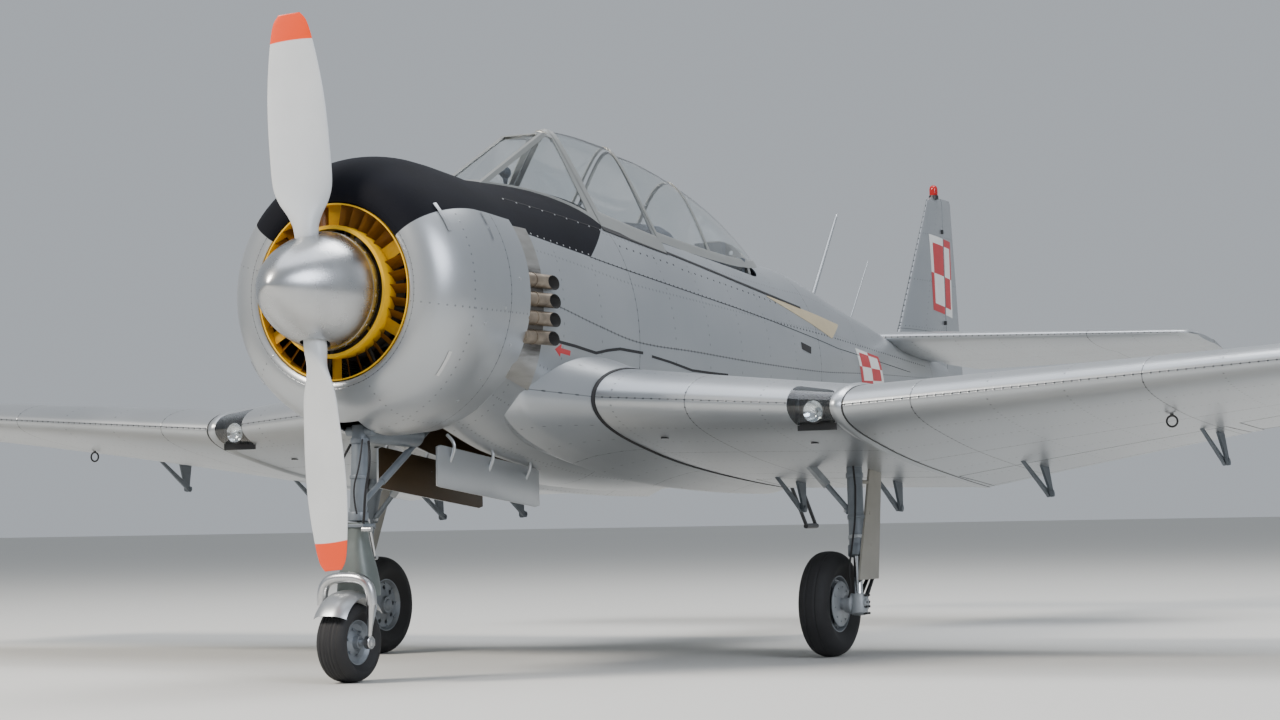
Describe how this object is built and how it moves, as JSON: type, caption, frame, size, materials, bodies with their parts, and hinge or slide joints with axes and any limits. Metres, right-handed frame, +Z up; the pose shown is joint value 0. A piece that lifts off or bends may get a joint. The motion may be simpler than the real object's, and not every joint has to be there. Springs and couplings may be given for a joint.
{
  "type": "piston trainer aircraft",
  "caption": "Low-wing tandem-seat propeller trainer on a nose-wheel gear, with a round radial-engine cowl, sliding glazed hoods, cranked wings and moving control surfaces.",
  "frame": {"origin": "on the ground under the middle of the whole aircraft box", "axes": "+X to the port wing tip, -Y towards the propeller, +Z up"},
  "size_m": [10.5, 8.55, 3.0225],
  "materials": {
    "silver_paint": "satin silver aircraft paint over sheet metal",
    "cockpit_paint": "matte blue-grey cockpit paint",
    "black_coaming": "matte black anti-glare covering",
    "engine_metal": "dark cast cylinders and crankcase",
    "vane_yellow": "amber yellow enamel",
    "spinner_metal": "polished bare spun sheet",
    "blade_paint": "pale grey blade paint with orange-red tips",
    "bay_primer": "amber green-yellow primer",
    "exhaust_steel": "heat-stained steel",
    "canopy_glass": "clear acrylic sheet",
    "beacon_red": "clear red lens",
    "tyre_rubber": "worn black tyre rubber",
    "hub_metal": "grey painted cast hub",
    "leg_grey": "blue-grey gear paint with a chromed piston",
    "fork_metal": "grey casting with polished fork arms"
  },
  "bodies": {
    "airframe": {"cowl": "silver_paint", "engine_block": "engine_metal", "cooling_vanes": "vane_yellow", "fuselage": "silver_paint", "wing_fillet_port": "silver_paint", "wing_fillet_starboard": "silver_paint", "nose_bay": "bay_primer", "exhaust_port": "exhaust_steel", "exhaust_starboard": "exhaust_steel", "cockpit_floor": "cockpit_paint", "front_seat": "cockpit_paint", "rear_seat": "cockpit_paint", "front_coaming": "black_coaming", "compass": "cockpit_paint", "rear_coaming": "cockpit_paint", "rear_arch": "cockpit_paint", "windscreen_frame": "silver_paint", "windscreen_glass": "canopy_glass", "inner_wing_port": "silver_paint", "outer_wing_port": "silver_paint", "landing_light_port": "canopy_glass", "inner_wing_starboard": "silver_paint", "outer_wing_starboard": "silver_paint", "landing_light_starboard": "canopy_glass", "tailplane_port": "silver_paint", "tailplane_starboard": "silver_paint", "fin": "silver_paint", "beacon": "beacon_red", "nose_leg": "leg_grey", "nose_drag_strut": "leg_grey", "nose_door_port": "silver_paint", "nose_door_starboard": "silver_paint", "main_leg_port": "leg_grey", "leg_door_port": "silver_paint", "main_leg_starboard": "leg_grey", "leg_door_starboard": "silver_paint", "boarding_step": "silver_paint"},
    "propeller": {"spinner": "spinner_metal", "propeller": "blade_paint"},
    "nose_steering": {"nose_fork": "fork_metal", "mudguard": "fork_metal"},
    "nose_wheel": {"nose_tyre": "tyre_rubber", "nose_hub": "hub_metal"},
    "main_wheel_port": {"main_tyre_port": "tyre_rubber", "main_hub_port": "hub_metal"},
    "main_wheel_starboard": {"main_tyre_starboard": "tyre_rubber", "main_hub_starboard": "hub_metal"},
    "front_hood": {"front_hood_frame": "silver_paint", "front_hood_glass": "canopy_glass"},
    "rear_hood": {"rear_hood_frame": "silver_paint", "rear_hood_glass": "canopy_glass"},
    "aileron_port": {"aileron_port": "silver_paint"},
    "aileron_starboard": {"aileron_starboard": "silver_paint"},
    "inner_flap_port": {"inner_flap_port": "silver_paint"},
    "inner_flap_starboard": {"inner_flap_starboard": "silver_paint"},
    "outer_flap_port": {"outer_flap_port": "silver_paint"},
    "outer_flap_starboard": {"outer_flap_starboard": "silver_paint"},
    "elevators": {"elevator_port": "silver_paint", "elevator_starboard": "silver_paint"},
    "rudder": {"rudder": "silver_paint"}
  },
  "joints": [
    {"name": "propeller_spin", "type": "hinge", "parent": "airframe", "child": "propeller", "pos_m": [0, -3.938, 1.765], "axis": [0, 1, 0], "continuous": true},
    {"name": "nose_wheel_steering", "type": "hinge", "parent": "airframe", "child": "nose_steering", "pos_m": [0, -3.57918, 0.7226], "axis": [0, 0.0703, 0.9975], "range_deg": [-35, 35]},
    {"name": "nose_wheel_spin", "type": "hinge", "parent": "nose_steering", "child": "nose_wheel", "pos_m": [0, -3.665, 0.181], "axis": [1, 0, 0], "continuous": true},
    {"name": "main_wheel_port_spin", "type": "hinge", "parent": "airframe", "child": "main_wheel_port", "pos_m": [1.353, -1.315, 0.266], "axis": [1, 0, 0], "continuous": true},
    {"name": "main_wheel_starboard_spin", "type": "hinge", "parent": "airframe", "child": "main_wheel_starboard", "pos_m": [-1.353, -1.315, 0.266], "axis": [1, 0, 0], "continuous": true},
    {"name": "front_hood_slide", "type": "slide", "parent": "airframe", "child": "front_hood", "axis": [0, 0.9996, -0.0297], "range_m": [0, 0.6]},
    {"name": "rear_hood_slide", "type": "slide", "parent": "airframe", "child": "rear_hood", "axis": [0, 0.9998, -0.0209], "range_m": [0, 0.5]},
    {"name": "aileron_port_hinge", "type": "hinge", "parent": "airframe", "child": "aileron_port", "pos_m": [3.35, -0.78629, 1.18045], "axis": [0.9913, -0.0525, 0.1206], "range_deg": [-18, 18]},
    {"name": "aileron_starboard_hinge", "type": "hinge", "parent": "airframe", "child": "aileron_starboard", "pos_m": [-3.35, -0.78629, 1.18045], "axis": [0.9913, 0.0525, -0.1206], "range_deg": [-18, 18]},
    {"name": "inner_flap_port_hinge", "type": "hinge", "parent": "airframe", "child": "inner_flap_port", "pos_m": [0.7, -0.54605, 0.75083], "axis": [-0.999, -0.0443, 0.0106], "range_deg": [0, 40]},
    {"name": "inner_flap_starboard_hinge", "type": "hinge", "parent": "airframe", "child": "inner_flap_starboard", "pos_m": [-0.7, -0.54605, 0.75083], "axis": [-0.999, 0.0443, -0.0106], "range_deg": [0, 40]},
    {"name": "outer_flap_port_hinge", "type": "hinge", "parent": "airframe", "child": "outer_flap_port", "pos_m": [1.88, -0.49825, 0.74705], "axis": [-0.9882, 0.0441, -0.1465], "range_deg": [0, 40]},
    {"name": "outer_flap_starboard_hinge", "type": "hinge", "parent": "airframe", "child": "outer_flap_starboard", "pos_m": [-1.88, -0.49825, 0.74705], "axis": [-0.9882, -0.0441, 0.1465], "range_deg": [0, 40]},
    {"name": "elevator_hinge", "type": "hinge", "parent": "airframe", "child": "elevators", "pos_m": [0, 3.47, 1.78539], "axis": [1, 0, 0], "range_deg": [-14, 30]},
    {"name": "rudder_hinge", "type": "hinge", "parent": "airframe", "child": "rudder", "pos_m": [0, 3.925, 1.66], "axis": [0, 0, 1], "range_deg": [-25, 25]}
  ],
  "couplings": [
    {"joint": "aileron_starboard_hinge", "follows": "aileron_port_hinge", "ratio": -1},
    {"joint": "inner_flap_starboard_hinge", "follows": "inner_flap_port_hinge", "ratio": 1},
    {"joint": "outer_flap_port_hinge", "follows": "inner_flap_port_hinge", "ratio": 1},
    {"joint": "outer_flap_starboard_hinge", "follows": "inner_flap_port_hinge", "ratio": 1}
  ]
}
